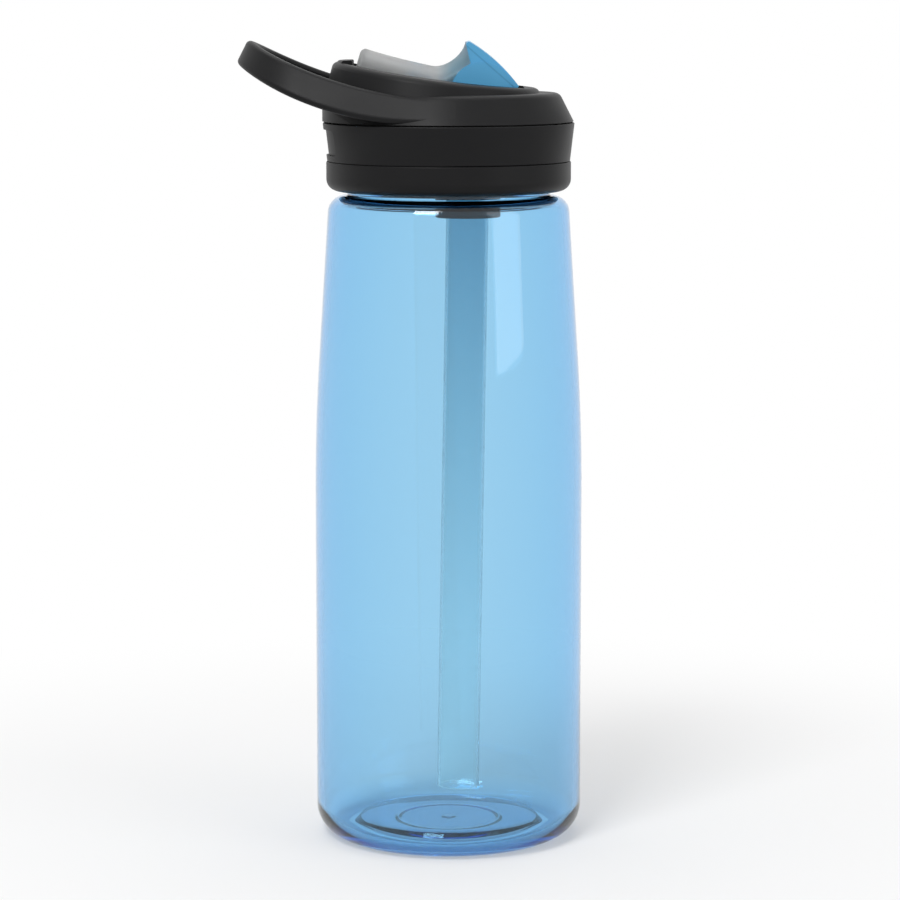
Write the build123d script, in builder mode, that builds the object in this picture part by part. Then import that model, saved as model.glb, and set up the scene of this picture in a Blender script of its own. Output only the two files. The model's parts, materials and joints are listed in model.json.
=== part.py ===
from build123d import *
import os
from math import atan2, cos, radians, sin, sqrt, tan

# A 0.75 litre drinking bottle: a clear body, a screw cap with a fixed carry loop, and a spout
# that flips up to drink through a straw.  Millimetres, +Z up, origin at the centre of the foot.
# The carry loop reaches out towards -X, and the stowed spout lies along X in the top cover.

os.makedirs("parts", exist_ok=True)

# ---------------------------------------------------------------- bottle sizes
body_radius = 39.2
body_wall = 1.9
base_corner = 9.0
base_thickness = 2.8
punt_radius = 26.4
punt_height = 2.0
punt_draft = 1.4
punt_blend = 0.7
taper_run = 67.6
taper_blend = 620.0
shoulder_height = 189.6
shoulder_step = 5.4
shoulder_corner = 5.0
neck_radius = 29.5
neck_wall = 2.4
neck_height = 15.9
edge_break = 0.5

# ---------------------------------------------------------------- thread sizes
thread_pitch = 4.0
thread_depth = 1.3
thread_crest = 0.9
thread_base = 2.3
thread_root_bite = 0.4
thread_turns = 1.25
thread_below_rim = 10.3
thread_offset = 1.9
thread_clearance = 0.4

# ---------------------------------------------------------------- cap sizes
cap_stand_off = 1.4
skirt_height = 8.5
skirt_wall = 4.4
skirt_corner = 3.4
sleeve_wall = 2.5
band_inset = 0.3
band_flare = 1.3
band_rise = 0.2
band_groove = 0.35
badge_depth = 0.7
badge_width = 30.0
badge_margin = 1.9
gasket_thickness = 1.6
plug_thickness = 1.4
plug_skirt_depth = 6.0
plug_skirt_wall = 1.5
plug_clearance = 0.6
deck_thickness = 2.0
deck_width = 9.7
fit_clearance = 0.1

# ---------------------------------------------------------------- straw and vent sizes
straw_radius = 6.2
straw_wall = 0.8
straw_lift = 11.2
straw_lean = 0.9
port_x = 5.6
port_radius = 3.0
adapter_wall = 3.2
adapter_length = 23.9
adapter_corner = 1.2
socket_depth = 11.0
vent_x = -14.0
vent_stem_radius = 1.5
vent_disc_radius = 4.5
vent_disc_thickness = 0.9
vent_head_radius = 2.4
vent_head_height = 1.1

# ---------------------------------------------------------------- spout sizes
# Points of the spout's side outline are (along X, up) from its pivot.
pivot_x = 9.5
pivot_rise = 8.9
hub_radius = 9.0
hub_width = 25.2
trunnion_radius = 1.7
trunnion_length = 2.4
trunnion_clearance = 0.06
spout_open_angle = 80.0
wedge_inset = 0.6
wedge_apex_run = -4.9
wedge_apex_rise = 15.5
wedge_foot_run = 10.6
wedge_foot_rise = 2.1
wedge_front_run = -3.2
wedge_bulge = 1.1
wedge_round = 0.8
wedge_heel_angle = 8.0
seal_radius = 4.0
seal_bore_radius = 2.6
seal_clearance = 0.1
seal_cup_wall = 1.3
seal_cup_height = 1.0
spigot_radius = 4.2
spigot_run = -22.0
spigot_barb = 0.7
spigot_barb_length = 3.6

# ---------------------------------------------------------------- bite valve sizes
valve_slope = 14.5
valve_tip_run = -36.1
valve_tip_rise = 7.3
valve_thickness = 11.4
valve_width = 19.0
valve_round = 4.4
valve_wall = 1.6
valve_waist_run = -15.0
valve_skirt_run = -5.2
valve_skirt_rise = 15.0
valve_skirt_width = 22.6
valve_plan_blend = 6.0
valve_plan_run = 2.0
valve_gap = 0.1
slit_width = 0.4
slit_length = 8.0

# ---------------------------------------------------------------- top cover and loop sizes
cover_gap = 0.4
cover_inset = 0.3
cover_height = 8.2
cover_draft = 27.0
cover_round = 2.4
cover_wall = 2.2
cover_front_overhang = 0.1
cover_seat_width = 2.4
cover_seat_height = 4.5
dome_inset = 3.0
dome_centre_x = -4.7
dome_draft = 15.0
dome_front_x = -29.0
dome_front_rise = 16.6
dome_slope = 11.8
dome_sweep = 341.0
dome_round = 2.0
loop_reach = 70.0
loop_tip_radius = 31.0
loop_thickness = 4.6
loop_round = 1.3
loop_lower_x = -8.0
loop_lower_radius = 93.0
loop_upper_x = 2.0
loop_upper_rise = 7.1
loop_upper_radius = 117.0
channel_side_gap = 0.4
channel_front_gap = 2.6
channel_corner = 7.0
channel_under_valve = 1.4
channel_wall = 1.8
pocket_clearance = 1.5
boss_radius = 5.5
boss_wall = 1.6
lip_front_x = -32.0
lip_back_x = -29.4
lip_height = 0.9
lip_depth = 4.6
lip_draft = 27.0
lip_round = 0.9
lip_width = 18.0

# ---------------------------------------------------------------- derived places
taper_start = shoulder_height - taper_run
rim_height = shoulder_height + neck_height
shoulder_radius = neck_radius + shoulder_step
neck_inner = neck_radius - neck_wall
thread_bottom = rim_height - thread_below_rim
gasket_top = rim_height + gasket_thickness
plug_top = gasket_top + plug_thickness
deck_top = plug_top + deck_thickness
band_top = deck_top + band_rise
cover_bottom = band_top + cover_gap
cap_bottom = shoulder_height + cap_stand_off
skirt_top = cap_bottom + skirt_height
cap_inner = neck_radius + thread_depth + thread_clearance
skirt_radius = cap_inner + skirt_wall
band_seat_radius = cap_inner + sleeve_wall
band_bottom_radius = skirt_radius - band_inset
band_top_radius = band_bottom_radius + band_flare
badge_height = band_top - skirt_top - 2 * badge_margin
deck_hole_radius = band_seat_radius - deck_width
cover_radius = band_top_radius - cover_inset
cover_front_radius = band_top_radius + cover_front_overhang
dome_radius = cover_radius - dome_inset
plug_skirt_radius = neck_inner - plug_clearance
adapter_radius = straw_radius + fit_clearance + adapter_wall
adapter_bottom = gasket_top - adapter_length
straw_top = adapter_bottom + socket_depth
straw_bottom = base_thickness + straw_lift
pivot_z = deck_top + pivot_rise
wedge_width = hub_width - 2 * wedge_inset
wedge_apex = (pivot_x + wedge_apex_run, pivot_z + wedge_apex_rise)
wedge_foot = (pivot_x + wedge_foot_run, pivot_z + wedge_foot_rise)
wedge_front_x = pivot_x + wedge_front_run
valve_tip = (pivot_x + valve_tip_run, pivot_z + valve_tip_rise)
valve_skirt_top = (pivot_x + valve_skirt_run, pivot_z + valve_skirt_rise)
valve_waist_x = pivot_x + valve_waist_run
valve_cos = cos(radians(valve_slope))
valve_sin = sin(radians(valve_slope))
hub_distance = -valve_tip_run / valve_cos
back_distance = -(valve_tip_run + hub_radius + valve_gap) / valve_cos
waist_distance = (valve_waist_run - valve_tip_run) / valve_cos
spigot_start = (spigot_run - valve_tip_run) / valve_cos
channel_width = hub_width + 2 * channel_side_gap
channel_front_x = valve_tip[0] - channel_front_gap
pocket_radius = sqrt(wedge_foot_run**2 + wedge_foot_rise**2) + pocket_clearance
dome_front_z = cover_bottom + dome_front_rise
loop_upper_z = cover_bottom + loop_upper_rise
loop_centre_x = loop_tip_radius - loop_reach
hoop_height = 26.0
clear_height = 40.0


def along_valve(distance, height):
    """Point in the XZ plane, measured along and across the bite valve's axis from its tip."""
    x = valve_tip[0] + distance * valve_cos + height * valve_sin
    z = valve_tip[1] - distance * valve_sin + height * valve_cos
    return (x, z)


def valve_height(x):
    """Height of the bite valve's axis at x."""
    return valve_tip[1] - (x - valve_tip[0]) * valve_sin / valve_cos


def valve_plane(distance):
    """Plane square to the bite valve's axis, facing the hub, at a distance in from its tip."""
    x, z = along_valve(distance, 0)
    return Plane(origin=(x, 0, z), x_dir=(0, 1, 0), z_dir=(valve_cos, 0, -valve_sin))


def dome_line(x, drop=0):
    """Height of the dome's top at x, which slopes down and levels out, or of a line below it."""
    run = x - dome_front_x
    return dome_front_z - run * tan(radians(dome_slope)) + run**2 / (2 * dome_sweep) - drop


def thread_rib(wall_radius, outward, start_z):
    """A right-hand helical rib of trapezoidal section on a round wall."""
    path = Helix(thread_pitch, thread_pitch * thread_turns, wall_radius, center=(0, 0, start_z),
                 mode=Mode.PRIVATE)
    with BuildPart(mode=Mode.PRIVATE) as rib:
        with BuildSketch(Plane(origin=path @ 0, x_dir=(1, 0, 0), z_dir=path % 0)):
            with BuildLine():
                Polyline(
                    (-outward * thread_root_bite, -thread_base / 2),
                    (outward * thread_depth, -thread_crest / 2),
                    (outward * thread_depth, thread_crest / 2),
                    (-outward * thread_root_bite, thread_base / 2),
                    close=True,
                )
            make_face()
        sweep(path=path, is_frenet=True)
    return rib.part


def barbed_spigot(gap):
    """The round spigot on the spout with a sloping barb at its end, grown by a gap all round."""
    radius = spigot_radius + gap
    barb_end = spigot_start + spigot_barb_length + gap
    with BuildPart(mode=Mode.PRIVATE) as spigot:
        with BuildSketch(Plane.XZ):
            with BuildLine():
                Polyline(
                    along_valve(spigot_start, 0),
                    along_valve(spigot_start, radius),
                    along_valve(spigot_start + spigot_barb_length / 2, radius + spigot_barb),
                    along_valve(barb_end, radius + spigot_barb),
                    along_valve(barb_end, radius),
                    along_valve(hub_distance, radius),
                    along_valve(hub_distance, 0),
                    close=True,
                )
            make_face()
        revolve(axis=Axis(valve_plane(0).origin, valve_plane(0).z_dir))
    return spigot.part


def save(piece, name):
    """Label a finished piece and write it under its own name."""
    piece.part.label = name
    export_step(piece.part, f"parts/{name}.step")


def strip_edge(start_x, start_z, radius):
    """The arc along one edge of the loop's strip, level at its start and rising towards -X."""
    run = start_x + loop_reach + loop_thickness
    end = (start_x - run, start_z + radius - sqrt(radius**2 - run**2))
    return TangentArc((start_x, start_z), end, tangent=(-1, 0))



# ---------------------------------------------------------------- bottle
# One revolved wall with a shallow ring foot, a gentle taper to the shoulder and a threaded neck.
with BuildPart() as bottle:
    with BuildSketch(Plane.XZ):
        with BuildLine():
            wall = FilletPolyline(
                (0, punt_height),
                (punt_radius, punt_height),
                (punt_radius + punt_draft, 0),
                (body_radius, 0),
                (body_radius, taper_start),
                (shoulder_radius, shoulder_height),
                (neck_radius, shoulder_height),
                (neck_radius, rim_height),
                (neck_inner, rim_height),
                (neck_inner, shoulder_height - body_wall),
                (shoulder_radius - body_wall, shoulder_height - body_wall),
                (body_radius - body_wall, taper_start),
                (body_radius - body_wall, base_thickness),
                (punt_radius + punt_draft, base_thickness),
                (punt_radius, base_thickness + punt_height),
                (0, base_thickness + punt_height),
                radius=(
                    punt_blend,
                    punt_blend,
                    base_corner,
                    taper_blend,
                    shoulder_corner,
                    edge_break,
                    edge_break,
                    edge_break,
                    edge_break,
                    shoulder_corner - body_wall,
                    taper_blend,
                    base_corner - body_wall,
                    punt_blend,
                    punt_blend,
                ),
            )
            Line(wall @ 1, wall @ 0)
        make_face()
    revolve(axis=Axis.Z)
    add(thread_rib(neck_radius, 1, thread_bottom))
save(bottle, "bottle")

# ---------------------------------------------------------------- cap shell
# The black skirt that screws on the neck, with a sleeve for the band and a deck on top.
with BuildPart() as cap_shell:
    with BuildSketch(Plane.XZ):
        with BuildLine():
            shell_line = FilletPolyline(
                (cap_inner, cap_bottom),
                (skirt_radius, cap_bottom),
                (skirt_radius, skirt_top),
                (band_seat_radius, skirt_top),
                (band_seat_radius, deck_top),
                (deck_hole_radius, deck_top),
                (deck_hole_radius, plug_top),
                (cap_inner, plug_top),
                radius=(skirt_corner, band_groove, 0, edge_break, edge_break, edge_break),
            )
            Line(shell_line @ 1, shell_line @ 0)
        make_face()
    revolve(axis=Axis.Z)
    add(thread_rib(cap_inner, -1, thread_bottom - thread_offset))
save(cap_shell, "cap_shell")

# ---------------------------------------------------------------- grip band
# A flared ring pressed on the sleeve, with a bare recessed panel at the front.
with BuildPart() as badge_cut:
    with BuildSketch(Plane.YZ):
        with Locations((0, (skirt_top + band_top) / 2)):
            RectangleRounded(badge_width, badge_height, badge_height / 4)
    extrude(amount=-band_top_radius * 2)
    with BuildSketch(Plane.XZ):
        with BuildLine():
            Polyline(
                (0, skirt_top),
                (band_bottom_radius - badge_depth, skirt_top),
                (band_top_radius - badge_depth, band_top),
                (0, band_top),
                close=True,
            )
        make_face()
    revolve(axis=Axis.Z, mode=Mode.SUBTRACT)

with BuildPart() as grip_band:
    with BuildSketch(Plane.XZ):
        with BuildLine():
            Polyline(
                (band_seat_radius + fit_clearance, skirt_top),
                (band_bottom_radius, skirt_top),
                (band_top_radius, band_top),
                (band_seat_radius + fit_clearance, band_top),
                close=True,
            )
        make_face()
    revolve(axis=Axis.Z)
    outer_edges = grip_band.edges().filter_by(GeomType.CIRCLE).sort_by(SortBy.RADIUS)[-2:]
    fillet(outer_edges, band_groove)
    add(badge_cut.part, mode=Mode.SUBTRACT)
save(grip_band, "grip_band")

# ---------------------------------------------------------------- mouth gasket
with BuildPart() as mouth_gasket:
    with BuildSketch(Plane.XY.offset(rim_height)):
        Circle(neck_radius + fit_clearance)
        Circle(plug_skirt_radius + fit_clearance, mode=Mode.SUBTRACT)
    extrude(amount=gasket_thickness)
save(mouth_gasket, "mouth_gasket")

# ---------------------------------------------------------------- inner plug
# The plate under the deck that closes the neck, with the spout's port and the vent hole.
with BuildPart() as inner_plug:
    with BuildSketch(Plane.XY.offset(gasket_top)):
        Circle(cap_inner - fit_clearance)
    extrude(amount=plug_thickness)
    with BuildSketch(Plane.XY.offset(gasket_top)):
        Circle(plug_skirt_radius)
        Circle(plug_skirt_radius - plug_skirt_wall, mode=Mode.SUBTRACT)
    extrude(amount=-plug_skirt_depth)
    with BuildSketch(Plane.XY.offset(plug_top)):
        with Locations((port_x, 0)):
            Circle(seal_radius + fit_clearance + seal_cup_wall)
    extrude(amount=seal_cup_height)
    with BuildSketch(Plane.XY.offset(gasket_top)):
        with Locations((port_x, 0)):
            Circle(seal_radius + fit_clearance)
        with Locations((vent_x, 0)):
            Circle(vent_stem_radius + fit_clearance)
    extrude(amount=plug_thickness + seal_cup_height, mode=Mode.SUBTRACT)
save(inner_plug, "inner_plug")

# ---------------------------------------------------------------- straw adapter
# A boss under the plug: the port above, and a socket below that leans with the straw.
straw_plane = Plane(
    origin=(port_x, 0, straw_top),
    x_dir=(0, 1, 0),
    z_dir=(-sin(radians(straw_lean)), 0, -cos(radians(straw_lean))),
)
with BuildPart() as straw_adapter:
    with BuildSketch(Plane.XY.offset(adapter_bottom)):
        with Locations((port_x, 0)):
            Circle(adapter_radius)
    extrude(amount=gasket_top - adapter_bottom)
    foot_edge = straw_adapter.edges().filter_by(GeomType.CIRCLE).sort_by(Axis.Z)[0]
    fillet(foot_edge, adapter_corner)
    with BuildSketch(Plane.XY.offset(gasket_top)):
        with Locations((port_x, 0)):
            Circle(port_radius)
    extrude(amount=adapter_bottom - gasket_top, mode=Mode.SUBTRACT)
    with BuildSketch(straw_plane):
        Circle(straw_radius + fit_clearance)
    extrude(amount=socket_depth * 2, mode=Mode.SUBTRACT)
save(straw_adapter, "straw_adapter")

# ---------------------------------------------------------------- straw
with BuildPart() as straw:
    with BuildSketch(straw_plane):
        Circle(straw_radius)
        Circle(straw_radius - straw_wall, mode=Mode.SUBTRACT)
    extrude(amount=(straw_top - straw_bottom) / cos(radians(straw_lean)))
save(straw, "straw")

# ---------------------------------------------------------------- vent valve
# An umbrella of silicone under the plug, held by a stem and a head above it.
with BuildPart() as vent_valve:
    with BuildSketch(Plane.XY.offset(gasket_top - vent_disc_thickness)):
        with Locations((vent_x, 0)):
            Circle(vent_disc_radius)
    extrude(amount=vent_disc_thickness)
    with BuildSketch(Plane.XY.offset(gasket_top)):
        with Locations((vent_x, 0)):
            Circle(vent_stem_radius)
    extrude(amount=plug_thickness)
    with BuildSketch(Plane.XY.offset(plug_top)):
        with Locations((vent_x, 0)):
            Circle(vent_head_radius)
    extrude(amount=vent_head_height)
save(vent_valve, "vent_valve")

# ---------------------------------------------------------------- spout seal
# A soft sleeve on the port whose top is cupped to the round hub above it.
with BuildPart() as spout_seal:
    with BuildSketch(Plane.XY.offset(gasket_top)):
        with Locations((port_x, 0)):
            Circle(seal_radius)
            Circle(seal_bore_radius, mode=Mode.SUBTRACT)
    extrude(amount=pivot_z - gasket_top)
    with BuildSketch(Plane.XZ):
        with Locations((pivot_x, pivot_z)):
            Circle(hub_radius + seal_clearance)
    extrude(amount=hub_width / 2, both=True, mode=Mode.SUBTRACT)
save(spout_seal, "spout_seal")

# ---------------------------------------------------------------- flip spout
# A hub on two trunnions, a thumb wedge on top and a barbed spigot that holds the bite valve.
# Two bores meet in the hub: one runs out along the spigot, and the other faces the seal only
# when the spout is open.
seal_angle = atan2(-sqrt(hub_radius**2 - (pivot_x - port_x) ** 2), port_x - pivot_x)
inlet_angle = seal_angle + radians(spout_open_angle)
wedge_lean = atan2(wedge_apex[1] - wedge_foot[1], wedge_foot[0] - wedge_apex[0])
wedge_middle = (
    (wedge_apex[0] + wedge_foot[0]) / 2 + wedge_bulge * sin(wedge_lean),
    (wedge_apex[1] + wedge_foot[1]) / 2 + wedge_bulge * cos(wedge_lean),
)
hub_front_z = pivot_z + sqrt(hub_radius**2 - (wedge_front_x - pivot_x) ** 2)
wedge_heel = (
    pivot_x + hub_radius * cos(radians(wedge_heel_angle)),
    pivot_z - hub_radius * sin(radians(wedge_heel_angle)),
)
inlet_plane = Plane(
    origin=(pivot_x, 0, pivot_z),
    x_dir=(0, 1, 0),
    z_dir=(cos(inlet_angle), 0, sin(inlet_angle)),
)
with BuildPart() as flip_spout:
    with BuildSketch(Plane.XZ):
        with BuildLine():
            ThreePointArc(wedge_apex, wedge_middle, wedge_foot)
            Polyline(
                wedge_foot,
                wedge_heel,
                (pivot_x, pivot_z),
                (wedge_front_x, hub_front_z),
                wedge_apex,
            )
        make_face()
    extrude(amount=wedge_width / 2, both=True)
    wedge_edges = flip_spout.edges().filter_by(Axis.Y).group_by(Axis.Z)[-1]
    fillet(wedge_edges, wedge_round)
    with BuildSketch(Plane.XZ):
        with Locations((pivot_x, pivot_z)):
            Circle(hub_radius)
    extrude(amount=hub_width / 2, both=True)
    with BuildSketch(Plane.XZ):
        with Locations((pivot_x, pivot_z)):
            Circle(trunnion_radius)
    extrude(amount=hub_width / 2 + trunnion_length, both=True)
    add(barbed_spigot(0))
    with BuildSketch(valve_plane(spigot_start)):
        Circle(port_radius)
    extrude(amount=hub_distance - spigot_start, mode=Mode.SUBTRACT)
    with BuildSketch(inlet_plane):
        Circle(port_radius)
    extrude(amount=hub_radius * 2, mode=Mode.SUBTRACT)
save(flip_spout, "flip_spout")

# ---------------------------------------------------------------- bite valve
# A soft oval sleeve on the spigot that flares over the front of the thumb wedge.
with BuildPart() as bite_valve:
    with BuildSketch(Plane.XZ):
        with BuildLine():
            skirt_start = Line(
                along_valve(waist_distance, 0),
                along_valve(waist_distance, valve_thickness / 2),
            )
            flare = TangentArc(skirt_start @ 1, valve_skirt_top, tangent=(valve_cos, -valve_sin))
            Polyline(
                flare @ 1,
                (wedge_apex[0] - valve_gap, wedge_apex[1] - wedge_round),
                (wedge_front_x - valve_gap, hub_front_z),
                (pivot_x, pivot_z),
                along_valve(hub_distance, 0),
                skirt_start @ 0,
            )
        make_face()
    extrude(amount=valve_skirt_width / 2, both=True)
    with BuildSketch():
        with BuildLine():
            plan = FilletPolyline(
                (valve_waist_x, -valve_width / 2 + valve_round / 2),
                (valve_skirt_top[0] - valve_plan_run, -valve_skirt_width / 2),
                (pivot_x, -valve_skirt_width / 2),
                radius=valve_plan_blend,
            )
            mirror(about=Plane.XZ)
            Line(plan @ 0, (valve_waist_x, valve_width / 2 - valve_round / 2))
            Line(plan @ 1, (pivot_x, valve_skirt_width / 2))
        make_face()
    extrude(amount=clear_height * 10, mode=Mode.INTERSECT)
    with BuildSketch(valve_plane(0)):
        RectangleRounded(valve_width, valve_thickness, valve_round)
    extrude(amount=back_distance)
    with BuildSketch(Plane.XZ):
        with Locations((pivot_x, pivot_z)):
            Circle(hub_radius + valve_gap)
    extrude(amount=valve_skirt_width, both=True, mode=Mode.SUBTRACT)
    add(barbed_spigot(valve_gap), mode=Mode.SUBTRACT)
    with BuildSketch(valve_plane(valve_wall)):
        RectangleRounded(
            valve_width - 2 * valve_wall,
            valve_thickness - 2 * valve_wall,
            valve_round - valve_wall,
        )
    extrude(amount=spigot_start - valve_wall, mode=Mode.SUBTRACT)
    with BuildSketch(valve_plane(0)):
        Rectangle(slit_length, slit_width)
    extrude(amount=valve_wall, mode=Mode.SUBTRACT)
save(bite_valve, "bite_valve")

# ---------------------------------------------------------------- top cover
# The black top: a low tier and a sloping dome over a hollow, a channel for the spout, and the
# carry loop, a tapered hoop cut to a rising strip.


def hoop(inset):
    """The solid inside the hoop's outer wall, moved in by an inset: round the cover and the tip."""
    with BuildPart(mode=Mode.PRIVATE) as solid:
        for rise in (0, hoop_height):
            lean = inset + rise * tan(radians(cover_draft))
            with BuildSketch(Plane.XY.offset(cover_bottom + rise)):
                with BuildLine():
                    CenterArc((0, 0), cover_radius - lean, 0, 360)
                    CenterArc((loop_centre_x, 0), loop_tip_radius - lean, 0, 360)
                make_hull()
        loft(ruled=True)
    return solid.part


def cover_solid(inset):
    """The tier and the dome as one solid, moved in by an inset."""
    with BuildPart(mode=Mode.PRIVATE) as dome:
        with BuildSketch(Plane.XY.offset(cover_bottom)):
            with Locations((dome_centre_x, 0)):
                Circle(dome_radius - inset)
        extrude(amount=clear_height, taper=dome_draft)
        with BuildSketch(Plane.XY.offset(cover_bottom)):
            Circle(cover_front_radius - inset)
        extrude(amount=clear_height, mode=Mode.INTERSECT)
        with BuildSketch(Plane.XZ):
            with BuildLine():
                ThreePointArc(
                    (-clear_height, dome_line(-clear_height, inset)),
                    (0, dome_line(0, inset)),
                    (clear_height, dome_line(clear_height, inset)),
                )
                Polyline(
                    (clear_height, dome_line(clear_height, inset)),
                    (clear_height, cover_bottom + clear_height),
                    (-clear_height, cover_bottom + clear_height),
                    (-clear_height, dome_line(-clear_height, inset)),
                )
            make_face()
        extrude(amount=clear_height, both=True, mode=Mode.SUBTRACT)
        fillet(dome.faces().sort_by(Axis.Z)[-1].edges(), dome_round - inset / 2)
    with BuildPart(mode=Mode.PRIVATE) as tier:
        with BuildSketch(Plane.XY.offset(cover_bottom)):
            Circle(cover_radius - inset)
        extrude(amount=cover_height - inset, taper=cover_draft)
        fillet(tier.faces().sort_by(Axis.Z)[-1].edges(), cover_round - inset / 2)
    return dome.part + tier.part


def channel(grow):
    """The space for the stowed spout, grown all round by a wall."""
    floor_drop = valve_thickness / 2 + channel_under_valve + grow
    with BuildPart(mode=Mode.PRIVATE) as space:
        with BuildSketch(Plane.XZ):
            with BuildLine():
                front = channel_front_x - grow
                back = pivot_x + pocket_radius + grow
                Polyline(
                    (front, valve_height(front) - floor_drop / valve_cos),
                    (pivot_x, valve_height(pivot_x) - floor_drop / valve_cos),
                    (pivot_x, pivot_z),
                    (back, pivot_z),
                    (back, cover_bottom + clear_height),
                    (front, cover_bottom + clear_height),
                    close=True,
                )
            make_face()
            with Locations((pivot_x, pivot_z)):
                Circle(pocket_radius + grow)
        extrude(amount=channel_width / 2 + grow, both=True)
        front_edges = space.edges().filter_by(Axis.Z).group_by(Axis.X)[0]
        fillet(front_edges, channel_corner + grow)
    return space.part


# The channel's walls with the two trunnion bosses, trimmed to the inside of the dome.
with BuildPart() as tub:
    add(channel(channel_wall))
    with BuildSketch(Plane.XZ):
        with Locations((pivot_x, pivot_z)):
            Circle(boss_radius)
    extrude(amount=hub_width / 2 + trunnion_length + boss_wall, both=True)
    with BuildSketch(Plane.XY.offset(cover_bottom)):
        Circle(cover_radius)
    extrude(amount=-clear_height, mode=Mode.SUBTRACT)
channel_tub = tub.part & cover_solid(0)

# The raised lip along the dome's front edge, a short arc of a ring about the dome's axis.
lip_top = dome_line(lip_back_x, -lip_height)
with BuildPart() as front_lip:
    with BuildSketch(Plane.XZ):
        with BuildLine():
            lip_line = FilletPolyline(
                (lip_front_x - lip_depth * tan(radians(lip_draft)), lip_top - lip_depth),
                (lip_front_x, lip_top),
                (lip_back_x, lip_top),
                (lip_back_x, lip_top - lip_depth),
                radius=(lip_round, lip_round / 2),
            )
            Line(lip_line @ 1, lip_line @ 0)
        make_face()
    revolve(axis=Axis((dome_centre_x, 0, 0), (0, 0, 1)))
    with BuildSketch(Plane.XY.offset(lip_top)):
        with Locations((-cover_radius, 0)):
            Rectangle(cover_radius, lip_width)
    extrude(amount=-lip_depth, mode=Mode.INTERSECT)

with BuildPart() as top_cover:
    add(hoop(0))
    add(hoop(loop_thickness), mode=Mode.SUBTRACT)
    with BuildSketch(Plane.XZ):
        with BuildLine():
            lower = strip_edge(loop_lower_x, cover_bottom, loop_lower_radius)
            upper = strip_edge(loop_upper_x, loop_upper_z, loop_upper_radius)
            Polyline(lower @ 0, (loop_upper_x, cover_bottom), upper @ 0)
            Line(lower @ 1, upper @ 1)
        make_face()
    extrude(amount=clear_height, both=True, mode=Mode.INTERSECT)
    loop_edges = top_cover.edges().filter_by(lambda edge: (edge @ 0.5).X < loop_lower_x)
    fillet(loop_edges, loop_round)
    add(cover_solid(0))
    add(cover_solid(cover_wall), mode=Mode.SUBTRACT)
    add(channel_tub)
    add(channel(0), mode=Mode.SUBTRACT)
    with BuildSketch(Plane.XY.offset(plug_top)):
        with Locations((port_x, 0)):
            Circle(seal_radius + pocket_clearance)
    extrude(amount=pivot_z - plug_top, mode=Mode.SUBTRACT)
    with BuildSketch(Plane.XZ):
        with Locations((pivot_x, pivot_z)):
            Circle(trunnion_radius + trunnion_clearance)
    extrude(amount=hub_width / 2 + trunnion_length + fit_clearance, both=True, mode=Mode.SUBTRACT)
    with BuildSketch(Plane.XY.offset(deck_top)):
        Circle(band_seat_radius)
        Circle(band_seat_radius - cover_seat_width, mode=Mode.SUBTRACT)
    extrude(amount=cover_seat_height)
    add(front_lip.part)
save(top_cover, "top_cover")
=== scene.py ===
# %% [markdown]
# # A drinking bottle with a flip-up spout
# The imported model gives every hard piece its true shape.  This lesson gives each piece the finish
# of the real material, turns the clear wall again so that it is smooth, swaps the soft mouthpiece
# for a modelled one, and lights the bottle as for a shop window: on white, with soft lamps.

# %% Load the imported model
import bpy
import json
import math
import numpy as np
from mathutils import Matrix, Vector


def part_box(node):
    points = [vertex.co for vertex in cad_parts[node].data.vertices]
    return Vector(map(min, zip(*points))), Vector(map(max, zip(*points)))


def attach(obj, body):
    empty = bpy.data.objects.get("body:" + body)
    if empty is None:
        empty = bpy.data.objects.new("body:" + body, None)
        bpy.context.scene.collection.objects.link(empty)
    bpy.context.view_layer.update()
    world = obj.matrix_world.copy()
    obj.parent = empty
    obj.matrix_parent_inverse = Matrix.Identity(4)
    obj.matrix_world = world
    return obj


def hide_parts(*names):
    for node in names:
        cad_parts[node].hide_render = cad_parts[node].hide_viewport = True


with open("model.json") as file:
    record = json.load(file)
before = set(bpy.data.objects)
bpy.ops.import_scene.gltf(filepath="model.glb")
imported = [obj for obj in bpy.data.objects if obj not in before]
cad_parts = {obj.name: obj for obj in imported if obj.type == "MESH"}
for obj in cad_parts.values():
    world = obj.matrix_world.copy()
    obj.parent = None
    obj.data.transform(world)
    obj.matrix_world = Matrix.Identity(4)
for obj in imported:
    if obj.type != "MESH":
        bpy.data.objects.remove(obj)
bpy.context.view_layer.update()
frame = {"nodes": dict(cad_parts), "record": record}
nodes = frame["nodes"]
MM = 0.001
print("nodes:", sorted(nodes))

# %% [markdown]
# ## The camera
# A product picture is taken with a long lens from a little above the object's middle, so that the
# cap looks nearly level and the foot shows as an ellipse.  A wide lens close by would bend the
# straight sides.  The camera here stands a metre away and looks down by about eight degrees.

# %% Camera
camera_rise = math.radians(7.83)
camera_distance = 0.979
lens_length = 133.0
sensor_width = 36.0
look_at = Vector((0.0004, 0.0, 0.1146))
camera_data = bpy.data.cameras.new("camera")
camera_data.lens = lens_length
camera_data.sensor_width = sensor_width
camera = bpy.data.objects.new("camera", camera_data)
bpy.context.scene.collection.objects.link(camera)
back = Vector((0.0, -math.cos(camera_rise), math.sin(camera_rise)))
camera.location = look_at + back * camera_distance
camera.rotation_euler = (-back).to_track_quat("-Z", "Y").to_euler()
bpy.context.scene.camera = camera
print("camera at", [round(v, 3) for v in camera.location])

# %% [markdown]
# ## Helpers for the finishes
# Every finish is a small tree of nodes, read in Object coordinates, so the grain keeps its true
# size in metres and stays on the piece when the piece moves.  One helper makes the tree, one adds
# the shader, one adds fine bumps, and one lets a value drift slowly over the piece.

# %% Helpers for node materials
def new_material(name):
    """An empty node material; returns the material, its tree and its output node."""
    material = bpy.data.materials.new(name)
    material.use_nodes = True
    tree = material.node_tree
    tree.nodes.clear()
    output = tree.nodes.new("ShaderNodeOutputMaterial")
    return material, tree, output


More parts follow.
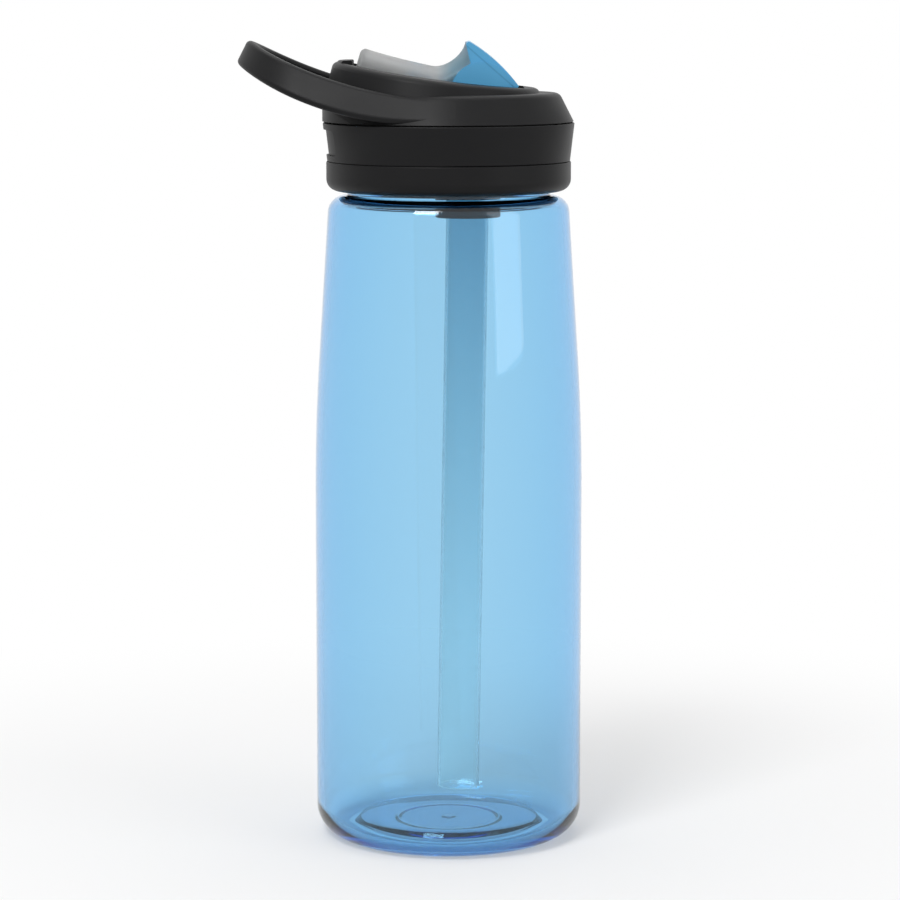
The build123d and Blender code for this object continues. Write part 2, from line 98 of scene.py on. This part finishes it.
def principled(tree, output, **sockets):
    """A Principled shader linked to the output, with constants set on its own sockets."""
    shader = tree.nodes.new("ShaderNodeBsdfPrincipled")
    for name, value in sockets.items():
        shader.inputs[name.replace("_", " ")].default_value = value
    tree.links.new(shader.outputs["BSDF"], output.inputs["Surface"])
    return shader


def noise_field(tree, scale, detail=2.0):
    """A noise on Object coordinates, from 0 to 1; scale is in features per metre."""
    place = tree.nodes.new("ShaderNodeTexCoord")
    noise = tree.nodes.new("ShaderNodeTexNoise")
    noise.inputs["Scale"].default_value = scale
    noise.inputs["Detail"].default_value = detail
    tree.links.new(place.outputs["Object"], noise.inputs["Vector"])
    return noise.outputs["Fac"]


def object_axes(tree):
    """The X, Y and Z outputs of Object coordinates, in metres."""
    place = tree.nodes.new("ShaderNodeTexCoord")
    split = tree.nodes.new("ShaderNodeSeparateXYZ")
    tree.links.new(place.outputs["Object"], split.inputs["Vector"])
    return split.outputs


def add_bump(tree, shader, height, strength, distance):
    """A Bump node from a height field to the shader's normal, on top of any bump before it."""
    bump = tree.nodes.new("ShaderNodeBump")
    bump.inputs["Strength"].default_value = strength
    bump.inputs["Distance"].default_value = distance
    for link in list(shader.inputs["Normal"].links):
        tree.links.new(link.from_socket, bump.inputs["Normal"])
    tree.links.new(height, bump.inputs["Height"])
    tree.links.new(bump.outputs["Normal"], shader.inputs["Normal"])


def drift(tree, field, low_end, high_end, socket):
    """Map the middle of a 0 to 1 field, where a noise mostly lies, to a range for a socket."""
    span = tree.nodes.new("ShaderNodeMapRange")
    span.inputs["From Min"].default_value = 0.3
    span.inputs["From Max"].default_value = 0.7
    span.inputs["To Min"].default_value = low_end
    span.inputs["To Max"].default_value = high_end
    tree.links.new(field, span.inputs["Value"])
    tree.links.new(span.outputs["Result"], socket)


def blend_colours(tree, field, first, second, socket):
    """Mix two colours by a 0 to 1 field and link the result to a socket."""
    mix = tree.nodes.new("ShaderNodeMix")
    mix.data_type = "RGBA"
    mix.inputs[6].default_value = (*first, 1.0)
    mix.inputs[7].default_value = (*second, 1.0)
    tree.links.new(field, mix.inputs[0])
    tree.links.new(mix.outputs[2], socket)


def math_node(tree, operation, first, second=None, third=None):
    """A Math node whose inputs are sockets or plain numbers; returns its output socket."""
    node = tree.nodes.new("ShaderNodeMath")
    node.operation = operation
    for slot, value in enumerate((first, second, third)):
        if value is None:
            continue
        if isinstance(value, (int, float)):
            node.inputs[slot].default_value = value
        else:
            tree.links.new(value, node.inputs[slot])
    return node.outputs[0]


# %% [markdown]
# ## The clear body
# The real body is blow-moulded copolyester, tinted blue all through.  Glass-like transmission with
# a colour on the surface alone would look the same everywhere, but a tinted wall looks deeper
# where the eye passes along it.  So a light tint on the surface is joined by an absorbing volume.
# A very slow waviness stands for the uneven wall of a blown bottle.

# %% Clear body
body_clear, tree, output = new_material("clear_body")
shader = principled(
    tree,
    output,
    Roughness=0.02,
    IOR=1.50,
    Transmission_Weight=1.0,
)
tint_in_wall = (0.08, 0.62, 0.93, 1.0)
tint_density = 310.0
absorb = tree.nodes.new("ShaderNodeVolumeAbsorption")
absorb.inputs["Color"].default_value = tint_in_wall
absorb.inputs["Density"].default_value = tint_density
tree.links.new(absorb.outputs["Volume"], output.inputs["Volume"])
cloud = noise_field(tree, 9.0, 1.0)
body_light = (0.96, 0.99, 0.965)
body_deep = (0.93, 0.97, 0.955)
blend_colours(tree, cloud, body_light, body_deep, shader.inputs["Base Color"])
add_bump(tree, shader, cloud, 0.2, 0.0006)
print("the clear wall absorbs with density", tint_density, "per metre")

# %% [markdown]
# ## The straw
# The straw is an extruded tube of the same tint, a little cloudier than the body.  Its colour is
# painted darker towards the cap: painted shade for the dark adapter seen through the wall.

# %% Straw
straw_clear, tree, output = new_material("straw_clear")
shader = principled(
    tree,
    output,
    IOR=1.45,
    Transmission_Weight=1.0,
)
axes = object_axes(tree)
straw_low, straw_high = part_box("straw")
height = tree.nodes.new("ShaderNodeMapRange")
height.inputs["From Min"].default_value = straw_low[2]
height.inputs["From Max"].default_value = straw_high[2]
tree.links.new(axes["Z"], height.inputs["Value"])
straw_pale = (0.95, 1.0, 1.0)
straw_painted_shade = (0.40, 0.60, 0.68)
# Painted shade: the straw's colour runs from its pale tint at the foot to a darker blue at the cap.
shade = math_node(tree, "POWER", height.outputs["Result"], 1.6)
blend_colours(tree, shade, straw_pale, straw_painted_shade, shader.inputs["Base Color"])
haze = noise_field(tree, 160.0)
drift(tree, haze, 0.07, 0.12, shader.inputs["Roughness"])
add_bump(tree, shader, haze, 0.15, 0.0002)
print("straw from", round(straw_low[2] / MM, 1), "to", round(straw_high[2] / MM, 1), "mm")

# %% [markdown]
# ## The black cap
# The cap's pieces are moulded in black polypropylene from spark-eroded tools, which leave a fine
# even grain.  The grain is a noise of about half a millimetre; handling polishes it unevenly, so
# the roughness drifts by a few hundredths over each piece.

# %% Black cap
cap_black, tree, output = new_material("cap_black")
shader = principled(tree, output, Specular_IOR_Level=0.14)
grain = noise_field(tree, 2200.0, 3.0)
wear = noise_field(tree, 45.0, 2.0)
drift(tree, wear, 0.40, 0.50, shader.inputs["Roughness"])
black_deep = (0.005, 0.005, 0.0055)
black_worn = (0.008, 0.008, 0.0085)
blend_colours(tree, wear, black_deep, black_worn, shader.inputs["Base Color"])
add_bump(tree, shader, grain, 0.22, 0.00006)
print(cap_black.name, "has", len(tree.nodes), "nodes")

# %% [markdown]
# ## The blue spout
# The spout is an opaque satin moulding in the body's blue.  A thin line is moulded into each side
# of the thumb wedge, along its sloping face; it is drawn here as a thin band of painted shade, a
# darker colour at a set distance below the plane of that face, not cut into the shape.

# %% Blue spout
spout_blue, tree, output = new_material("spout_blue")
shader = principled(tree, output, IOR=1.49)
tone = noise_field(tree, 120.0)
axes = object_axes(tree)
thumb_lean = math.radians(40.8)
thumb_offset = 180.9 * MM
groove_depth = 1.2 * MM
groove_width = 0.22 * MM
rise = math_node(tree, "MULTIPLY", axes["X"], math.sin(thumb_lean))
rise = math_node(tree, "MULTIPLY_ADD", axes["Z"], math.cos(thumb_lean), rise)
below = math_node(tree, "SUBTRACT", thumb_offset - groove_depth, rise)
# Painted shade: a thin darker band along each side of the wedge stands for the shade in the moulded
# line; the noise adds random tone.
groove = math_node(tree, "LESS_THAN", math_node(tree, "ABSOLUTE", below), groove_width)
shade = math_node(tree, "MULTIPLY_ADD", tone, 0.3, math_node(tree, "MULTIPLY", groove, 0.7))
spout_tint = (0.085, 0.36, 0.62)
spout_tone_and_groove_shade = (0.05, 0.25, 0.45)
blend_colours(tree, shade, spout_tint, spout_tone_and_groove_shade, shader.inputs["Base Color"])
drift(tree, tone, 0.26, 0.34, shader.inputs["Roughness"])
add_bump(tree, shader, noise_field(tree, 1500.0), 0.12, 0.00004)
print(spout_blue.name, "has a groove", round(2 * groove_width / MM, 2), "mm wide")

# %% [markdown]
# ## The silicone
# Silicone is milky: light goes in, scatters and comes out softened.  A part-transmissive rough
# shader gives that look on a thin sleeve, and lets the blue spigot inside show through.  Its skin
# is dull, with the faint unevenness of a soft moulding.  On the bite valve the skirt is stretched
# thin over the blue hub, so its grey turns teal towards the rim; a second material adds that.

# %% Silicone
def silicone_material(name):
    """Milky grey silicone; returns the material, its tree, its shader and its cloudiness."""
    material, tree, output = new_material(name)
    shader = principled(
        tree,
        output,
        IOR=1.41,
        Transmission_Weight=0.7,
        Specular_IOR_Level=0.35,
    )
    milk = noise_field(tree, 140.0)
    drift(tree, milk, 0.36, 0.46, shader.inputs["Roughness"])
    add_bump(tree, shader, noise_field(tree, 700.0), 0.15, 0.00006)
    return material, tree, shader, milk


grey_pale = (0.56, 0.555, 0.55)
grey_deep = (0.48, 0.475, 0.47)
silicone, tree, shader, milk = silicone_material("silicone")
blend_colours(tree, milk, grey_pale, grey_deep, shader.inputs["Base Color"])

skirt_start = -4.5 * MM
skirt_end = 2.5 * MM
skirt_teal = (0.25, 0.42, 0.50)
valve_silicone, tree, shader, milk = silicone_material("silicone_valve")
axes = object_axes(tree)
thin = tree.nodes.new("ShaderNodeMapRange")
thin.interpolation_type = "SMOOTHSTEP"
thin.inputs["From Min"].default_value = skirt_start
thin.inputs["From Max"].default_value = skirt_end
tree.links.new(axes["X"], thin.inputs["Value"])
cloudy = math_node(tree, "MULTIPLY_ADD", milk, 0.15, thin.outputs["Result"])
blend_colours(tree, cloudy, grey_pale, skirt_teal, shader.inputs["Base Color"])
print(valve_silicone.name, "turns teal over", round((skirt_end - skirt_start) / MM, 1), "mm")

# %% [markdown]
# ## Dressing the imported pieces
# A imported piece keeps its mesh.  Only its material slot changes, so one table from piece to finish
# says it all.  The bottle and the bite valve are not in the table: new meshes stand for them.

# %% Give each node its material
finishes = {
    "straw": straw_clear,
    "cap_shell": cap_black,
    "grip_band": cap_black,
    "top_cover": cap_black,
    "inner_plug": cap_black,
    "straw_adapter": cap_black,
    "flip_spout": spout_blue,
    "mouth_gasket": silicone,
    "spout_seal": silicone,
    "vent_valve": silicone,
}
for name, material in finishes.items():
    mesh = nodes[name].data
    mesh.materials.clear()
    mesh.materials.append(material)
    print(name, "has", len(mesh.polygons), "faces in", material.name)

# %% [markdown]
# ## The bottle's surface
# A bottle is a turned shape: one outline swept round the axis.  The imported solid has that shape
# cut into flat facets with a seam down one side, and a clear wall shows both.  So the wall is
# turned again here from the same sizes, with as many steps round as the eye needs.  A Screw
# modifier could do it, but a grid of points also takes the helical thread and the marks under the
# foot: each point is (r cos a, r sin a, z), and r and z get small offsets.


# %% Helpers for grids
def grid_mesh(name, grid, first_pole, last_pole=None):
    """A mesh from rings of points, closed round each ring, with a fan to a pole at its ends."""
    count, across, _ = grid.shape
    poles = [first_pole] if last_pole is None else [first_pole, last_pole]
    points = np.vstack([grid.reshape(-1, 3), np.array(poles)])
    ring, step = np.meshgrid(np.arange(count - 1), np.arange(across), indexing="ij")
    following = (step + 1) % across
    near, far = ring * across, (ring + 1) * across
    quads = np.stack([near + step, near + following, far + following, far + step], axis=-1)
    first = np.arange(across)
    following = (first + 1) % across
    faces = quads.reshape(-1, 4).tolist()
    faces += np.stack([np.full(across, count * across), following, first], axis=1).tolist()
    if last_pole is not None:
        last = (count - 1) * across
        pole = np.full(across, count * across + 1)
        faces += np.stack([pole, last + first, last + following], axis=1).tolist()
    mesh = bpy.data.meshes.new(name)
    mesh.from_pydata(points.tolist(), [], faces)
    mesh.polygons.foreach_set("use_smooth", np.ones(len(mesh.polygons), dtype=bool))
    mesh.update()
    return mesh


def corner_arc(before, here, after, radius, count):
    """The arc tangent to both sides of a corner: centre + arm cos t + (arm turned 90) sin t."""
    way_in = (here - before) / np.linalg.norm(here - before)
    way_out = (after - here) / np.linalg.norm(after - here)
    turn = math.atan2(way_in[0] * way_out[1] - way_in[1] * way_out[0], way_in @ way_out)
    start = here - way_in * radius * math.tan(abs(turn) / 2)
    centre = start + np.array([-way_in[1], way_in[0]]) * math.copysign(radius, turn)
    arm = start - centre
    turned = np.array([-arm[1], arm[0]])
    angles = np.linspace(0.0, turn, count)
    return centre + np.outer(np.cos(angles), arm) + np.outer(np.sin(angles), turned)


def rounded_path(corners, roundings):
    """A path whose inner corners become arcs; each rounding is a radius and a count of points."""
    corners = np.array(corners, dtype=float)
    arcs = [
        corner_arc(before, here, after, radius, count)
        for before, here, after, (radius, count)
        in zip(corners, corners[1:], corners[2:], roundings)
    ]
    return np.vstack([corners[:1], *arcs, corners[-1:]])


def refined(path, step):
    """The same path with long straight stretches cut into even pieces no longer than a step."""
    pieces = [path[:1]]
    for start, end in zip(path, path[1:]):
        count = max(1, math.ceil(np.linalg.norm(end - start) / step))
        shares = np.linspace(0.0, 1.0, count + 1)[1:, None]
        pieces.append(start + (end - start) * shares)
    return np.vstack(pieces)


# %% Bottle sizes
# In millimetres; the grid is made metres at the end.
bottle_low, bottle_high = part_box("bottle")
body_radius = bottle_high[0] / MM
rim_height = bottle_high[2] / MM
body_wall = 1.9
base_thickness = 2.8
base_corner = 9.0
punt_radius = 26.4
punt_height = 2.0
foot_radius = 27.8
punt_blend = 0.7
taper_start = 122.0
taper_blend = 620.0
shoulder_height = 189.6
shoulder_radius = 34.9
shoulder_corner = 5.0
neck_radius = 29.5
neck_inner = neck_radius - 2.4
edge_break = 0.5
inner_radius = body_radius - body_wall
inner_shoulder = shoulder_height - body_wall
punt_top = base_thickness + punt_height
print("body", round(2 * body_radius, 1), "mm across, rim at", round(rim_height, 1), "mm")

# %% Bottle outline
# From the middle under the foot, up the outside, over the rim and down the inside.
outline = rounded_path(
    [
        (0, punt_height),
        (punt_radius, punt_height),
        (foot_radius, 0),
        (body_radius, 0),
        (body_radius, taper_start),
        (shoulder_radius, shoulder_height),
        (neck_radius, shoulder_height),
        (neck_radius, rim_height),
        (neck_inner, rim_height),
        (neck_inner, inner_shoulder),
        (shoulder_radius - body_wall, inner_shoulder),
        (inner_radius, taper_start),
        (inner_radius, base_thickness),
        (foot_radius, base_thickness),
        (punt_radius, punt_top),
        (0, punt_top),
    ],
    [
        (punt_blend, 5),
        (punt_blend, 5),
        (base_corner, 20),
        (taper_blend, 24),
        (shoulder_corner, 14),
        (edge_break, 5),
        (edge_break, 5),
        (edge_break, 5),
        (edge_break, 5),
        (shoulder_corner - body_wall, 12),
        (taper_blend, 24),
        (base_corner - body_wall, 18),
        (punt_blend, 5),
        (punt_blend, 5),
    ],
)

# The middle of the foot and the neck carry fine detail, so the outline is cut finely there.
fine_foot, fine_neck, coarse = 0.5, 0.3, 8.0
marks_reach = 25.0
foot_end = np.argmax(outline[:, 0] > marks_reach)
neck_start = np.argmax(outline[:, 1] > shoulder_height + 0.4)
neck_end = neck_start + np.argmax(outline[neck_start:, 1] > rim_height - 0.4)
outline = np.vstack(
    [
        refined(outline[:foot_end + 1], fine_foot),
        refined(outline[foot_end:neck_start + 1], coarse)[1:],
        refined(outline[neck_start:neck_end + 1], fine_neck)[1:],
        refined(outline[neck_end:], coarse)[1:],
    ]
)
outline = outline[outline[:, 0] > 0.05]
print("outline of", len(outline), "points, widest", round(outline[:, 0].max(), 1), "mm")

# %% [markdown]
# ## The thread and the marks under the foot
# The thread is a ridge that climbs one pitch a turn: at angle a its middle is at the start plus
# the pitch times the turns, and a point of the neck moves out by how near it is to that middle.
# It thins out at both ends, as a moulded thread does.  Under the foot a shallow ring and the small
# stub of the moulding gate stand down from the flat.

# %% Thread and foot marks
steps_round = 240
around_body = np.linspace(0.0, 2 * math.pi, steps_round, endpoint=False)
reach, height = (np.repeat(outline[:, k][:, None], steps_round, axis=1) for k in (0, 1))
thread_pitch = 4.0
thread_depth = 1.3
thread_turns = 1.25
thread_base_half = 1.15
thread_flank = 0.7
thread_lead_in = 0.04
thread_start = rim_height - 10.3
rib = np.zeros_like(reach)
for lap in range(math.ceil(thread_turns)):
    turns = around_body / (2 * math.pi) + lap
    away = np.abs(height - thread_start - thread_pitch * turns)
    ends = np.clip(np.minimum(turns, thread_turns - turns) / thread_lead_in, 0.0, 1.0)
    rib = np.maximum(rib, np.clip((thread_base_half - away) / thread_flank, 0.0, 1.0) * ends)
on_neck = np.abs(reach - neck_radius) < 0.01
reach = reach + np.where(on_neck, rib * thread_depth, 0.0)

gate_depth = 0.6
gate_radius = 1.6
ring_depth = 0.35
ring_radius = 15.0
under = (height < punt_height + 0.01) & (reach < punt_radius - 0.4)
gate_mark = gate_depth * np.clip((gate_radius - reach) / 0.4, 0.0, 1.0)
mould_ring = ring_depth * np.exp(-(((reach - ring_radius) / 0.5) ** 2))
height = height - np.where(under, gate_mark + mould_ring, 0.0)
wall_grid = np.stack([reach * np.cos(around_body), reach * np.sin(around_body), height], axis=-1)
print("thread from", round(thread_start, 1), "mm up, ring of", 2 * ring_radius, "mm under the foot")

# %% Bottle mesh
bottom = np.array([0.0, 0.0, punt_height - gate_depth])
inner_floor = np.array([0.0, 0.0, punt_top])
bottle_mesh = grid_mesh("bottle_clear", wall_grid * MM, bottom * MM, inner_floor * MM)
bottle = bpy.data.objects.new("bottle_clear", bottle_mesh)
bpy.context.scene.collection.objects.link(bottle)
bottle_mesh.materials.append(body_clear)
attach(bottle, "bottle")
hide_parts("bottle")
print("bottle of", len(bottle_mesh.polygons), "faces")

# %% [markdown]
# ## The bite valve
# The mouthpiece is a soft oval sleeve with a slit in its flat end.  Behind a waist it flares up
# and out, and its rim hugs the front of the blue wedge and hub.  Box modelling would need many
# hand-placed loops for that flare.  Here the surface is a grid instead: one direction goes round
# the sleeve and the other runs from the middle of the tip to the rim.
#
# Each ring is a superellipse: a half width times |sin|^(2/n) across and a half height times
# |cos|^(2/n) up, which with n near 3 is a rounded oblong.  The flare is a cubic curve for every
# angle, from the waist ring along the sleeve's axis to the rim ring.  The grid is the outer skin,
# and a Solidify modifier gives it its wall inwards.

# %% Bite valve sizes
valve_low, valve_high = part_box("bite_valve")
joints = frame["record"]["behaviour"]["joints"]
pivot = next(joint["pos_m"] for joint in joints if joint["name"] == "spout_flip")
sleeve_slope = math.radians(14.5)
axis_in = np.array([math.cos(sleeve_slope), 0.0, -math.sin(sleeve_slope)])
axis_up = np.array([math.sin(sleeve_slope), 0.0, math.cos(sleeve_slope)])
tip_run = 36.1 * MM
tip_rise = 7.3 * MM
tip_centre = np.array([pivot[0] - tip_run, 0.0, pivot[2] + tip_rise])
half_width = 9.5 * MM
half_height = 5.7 * MM
tip_round = 1.4 * MM
wall_thickness = 1.4 * MM
waist_distance = 20.5 * MM
squareness = 3.0
around = 180
print("valve box in mm:", [round((b - a) / MM, 1) for a, b in zip(valve_low, valve_high)])
print("tip of the sleeve at", (tip_centre / MM).round(1))


# %% Bite valve surface
def oblong(angles, power):
    """Unit superellipse: signed powers of sine (across) and cosine (up) of each angle."""
    sine, cosine = np.sin(angles), np.cos(angles)
    across = np.sign(sine) * np.abs(sine) ** (2 / power)
    up = np.sign(cosine) * np.abs(cosine) ** (2 / power)
    return across, up


def sleeve_ring(distance, width, height, angles, power):
    """A ring square to the sleeve's axis, at a distance in from the tip."""
    across, up = oblong(angles, power)
    ring = tip_centre + axis_in * distance + np.outer(up * height, axis_up)
    ring[:, 1] += across * width
    return ring



# %% Sleeve, from the middle of the tip to the waist
# The angles run backwards, so that the faces between two rings point out of the sleeve.
angles = -np.linspace(0.0, 2 * math.pi, around, endpoint=False)
slit_half = 4.2 * MM
slit_fade = 0.8 * MM
slit_sigma = 0.22 * MM
slit_sink = 0.55 * MM
rows = []
for share in np.linspace(0.03, 1.0, 26):
    flat = sleeve_ring(
        0.0,
        (half_width - tip_round) * share,
        (half_height - tip_round) * share,
        angles,
        squareness,
    )
    up = (flat - tip_centre) @ axis_up
    fade = np.clip((slit_half - np.abs(flat[:, 1])) / slit_fade, 0.0, 1.0)
    sink = slit_sink * np.exp(-((up / slit_sigma) ** 2)) * fade
    rows.append(flat + np.outer(sink, axis_in))
for bend in np.linspace(0.15, 1.0, 8) * math.pi / 2:
    distance = tip_round * (1 - math.cos(bend))
    grow = tip_round * (1 - math.sin(bend))
    rows.append(
        sleeve_ring(distance, half_width - grow, half_height - grow, angles, squareness)
    )
sleeve_pinch = 0.25 * MM
for distance in np.linspace(tip_round * 1.6, waist_distance, 36):
    pinch = sleeve_pinch * math.sin(math.pi * distance / waist_distance)
    rows.append(
        sleeve_ring(distance, half_width - pinch, half_height - pinch, angles, squareness)
    )
print(len(rows), "rings to the waist")

# %% Flare, from the waist to the rim
# The rim's height runs from the wedge's apex to under the hub, and its place along X follows the
# front of the wedge and the hub's round, a little inside them so that no gap can show.
rim_high = pivot[2] + 14.6 * MM
rim_low = pivot[2] - 5.6 * MM
rim_half_width = 11.3 * MM
rim_across, rim_up = oblong(angles, 2.3)
rim_z = (rim_high + rim_low) / 2 + rim_up * (rim_high - rim_low) / 2
front_rise = np.array([-5.6, -3.4, 0.0, 3.7, 5.6, 7.6, 9.0, 10.5, 12.5, 14.0, 14.9]) * MM
front_run = np.array([-6.4, -7.7, -8.4, -7.6, -6.4, -4.2, -3.2, -3.1, -3.5, -4.1, -4.9]) * MM
rim_x = pivot[0] + np.interp(rim_z - pivot[2], front_rise, front_run)
rim = np.stack([rim_x, rim_across * rim_half_width, rim_z], axis=1)
waist = rows[-1]
pull = 1.05 * np.linalg.norm(rim - waist, axis=1)[:, None]
lift = np.clip(np.cos(angles), 0.0, 1.0)[:, None] ** 0.8
end_way = axis_in * (1 - 0.85 * lift) + np.array([0.0, 0.0, 1.0]) * 0.95 * lift
for t in np.linspace(0.0, 1.0, 44)[1:]:
    from_waist, leave_waist = 2 * t**3 - 3 * t**2 + 1, t**3 - 2 * t**2 + t
    to_rim, meet_rim = 3 * t**2 - 2 * t**3, t**3 - t**2
    ends = from_waist * waist + to_rim * rim
    rows.append(ends + (leave_waist * axis_in + meet_rim * end_way) * pull)
grid = np.array(rows)
print("grid", grid.shape, "lowest", (grid.min((0, 1)) / MM).round(1), "mm")
print("highest", (grid.max((0, 1)) / MM).round(1), "mm")


# %% Bite valve mesh
valve_mesh = grid_mesh("bite_valve_soft", grid, tip_centre + axis_in * slit_sink)
bite_valve = bpy.data.objects.new("bite_valve_soft", valve_mesh)
bpy.context.scene.collection.objects.link(bite_valve)
valve_mesh.materials.append(valve_silicone)
wall = bite_valve.modifiers.new("wall", "SOLIDIFY")
wall.thickness = wall_thickness
wall.offset = -1.0
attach(bite_valve, "spout")
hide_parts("bite_valve")
side = valve_mesh.polygons[around * 45 + around // 4]
print("faces", len(valve_mesh.polygons), "a side face points", [round(v, 2) for v in side.normal])

# %% [markdown]
# ## The stage
# The bottle stands on a plain pale floor that keeps its shadow.  Seen by the camera, or through
# or in the bottle, the floor fades to pure white away from the bottle, so that no horizon shows.
# The object gets no light from that white.

# %% Floor
floor_half = 3.0
floor_mesh = bpy.data.meshes.new("floor")
floor_mesh.from_pydata(
    [(-floor_half, -floor_half, 0), (floor_half, -floor_half, 0),
     (floor_half, floor_half, 0), (-floor_half, floor_half, 0)],
    [],
    [(0, 1, 2, 3)],
)
floor = bpy.data.objects.new("floor", floor_mesh)
bpy.context.scene.collection.objects.link(floor)
floor_white, tree, output = new_material("floor_white")
floor_grey = (0.86, 0.86, 0.86, 1.0)
fade_start = 0.05
fade_end = 0.32
white_near = 0.38
diffuse = tree.nodes.new("ShaderNodeBsdfDiffuse")
diffuse.inputs["Color"].default_value = floor_grey
white = tree.nodes.new("ShaderNodeEmission")
place = tree.nodes.new("ShaderNodeTexCoord")
length = tree.nodes.new("ShaderNodeVectorMath")
length.operation = "LENGTH"
tree.links.new(place.outputs["Object"], length.inputs[0])
spread = tree.nodes.new("ShaderNodeMapRange")
spread.interpolation_type = "SMOOTHSTEP"
spread.inputs["From Min"].default_value = fade_start
spread.inputs["From Max"].default_value = fade_end
spread.inputs["To Min"].default_value = white_near
spread.inputs["To Max"].default_value = 1.0
tree.links.new(length.outputs["Value"], spread.inputs["Value"])
light_path = tree.nodes.new("ShaderNodeLightPath")
seen = math_node(
    tree, "MAXIMUM", light_path.outputs["Is Camera Ray"], light_path.outputs["Is Glossy Ray"]
)
seen = math_node(tree, "MAXIMUM", seen, light_path.outputs["Is Transmission Ray"])
fade = tree.nodes.new("ShaderNodeMixShader")
tree.links.new(math_node(tree, "MULTIPLY", seen, spread.outputs["Result"]), fade.inputs["Fac"])
tree.links.new(diffuse.outputs["BSDF"], fade.inputs[1])
tree.links.new(white.outputs["Emission"], fade.inputs[2])
tree.links.new(fade.outputs["Shader"], output.inputs["Surface"])
floor_mesh.materials.append(floor_white)
print("floor", 2 * floor_half, "m wide, pure white", fade_end, "m from the bottle")

# %% [markdown]
# ## The world and the lamps
# The world is white to the camera, and to rays that pass through or bounce off a clear piece, and
# dimmer as a light.  Three soft lamps model the shapes: a key from the front left and above, which
# draws the broad highlight on the loop, a weaker fill from the right, and one lamp overhead.

# %% World
world_light = 0.28
world = bpy.data.worlds.new("studio")
bpy.context.scene.world = world
world.use_nodes = True
tree = world.node_tree
tree.nodes.clear()
output = tree.nodes.new("ShaderNodeOutputWorld")
backdrop = tree.nodes.new("ShaderNodeBackground")
backdrop.inputs["Color"].default_value = (1.0, 1.0, 1.0, 1.0)
light_path = tree.nodes.new("ShaderNodeLightPath")
seen = math_node(
    tree, "MAXIMUM", light_path.outputs["Is Camera Ray"], light_path.outputs["Is Transmission Ray"]
)
seen = math_node(tree, "MAXIMUM", seen, light_path.outputs["Is Glossy Ray"])
strength = tree.nodes.new("ShaderNodeMapRange")
strength.inputs["To Min"].default_value = world_light
strength.inputs["To Max"].default_value = 1.0
tree.links.new(seen, strength.inputs["Value"])
tree.links.new(strength.outputs["Result"], backdrop.inputs["Strength"])
tree.links.new(backdrop.outputs["Background"], output.inputs["Surface"])
print("the world lights the bottle at", world_light)


# %% Lamps
def soft_lamp(name, place, aim, width, height, power):
    """A rectangular area lamp at a place, turned towards a point."""
    data = bpy.data.lights.new(name, "AREA")
    data.shape = "RECTANGLE"
    data.size = width
    data.size_y = height
    data.energy = power
    lamp = bpy.data.objects.new(name, data)
    lamp.location = place
    lamp.rotation_euler = (Vector(aim) - Vector(place)).to_track_quat("-Z", "Y").to_euler()
    bpy.context.scene.collection.objects.link(lamp)
    print("lamp", name, "of", power, "W")


soft_lamp("key", (-0.5, -1.05, 1.35), (0, 0, 0.18), 0.6, 0.6, 18.0)
soft_lamp("fill", (1.2, -0.8, 0.7), (0, 0, 0.12), 0.8, 1.2, 5.0)
soft_lamp("top", (0.0, 0.3, 1.6), (0, 0, 0.15), 1.2, 1.2, 9.0)
bpy.context.scene.view_settings.view_transform = "Standard"
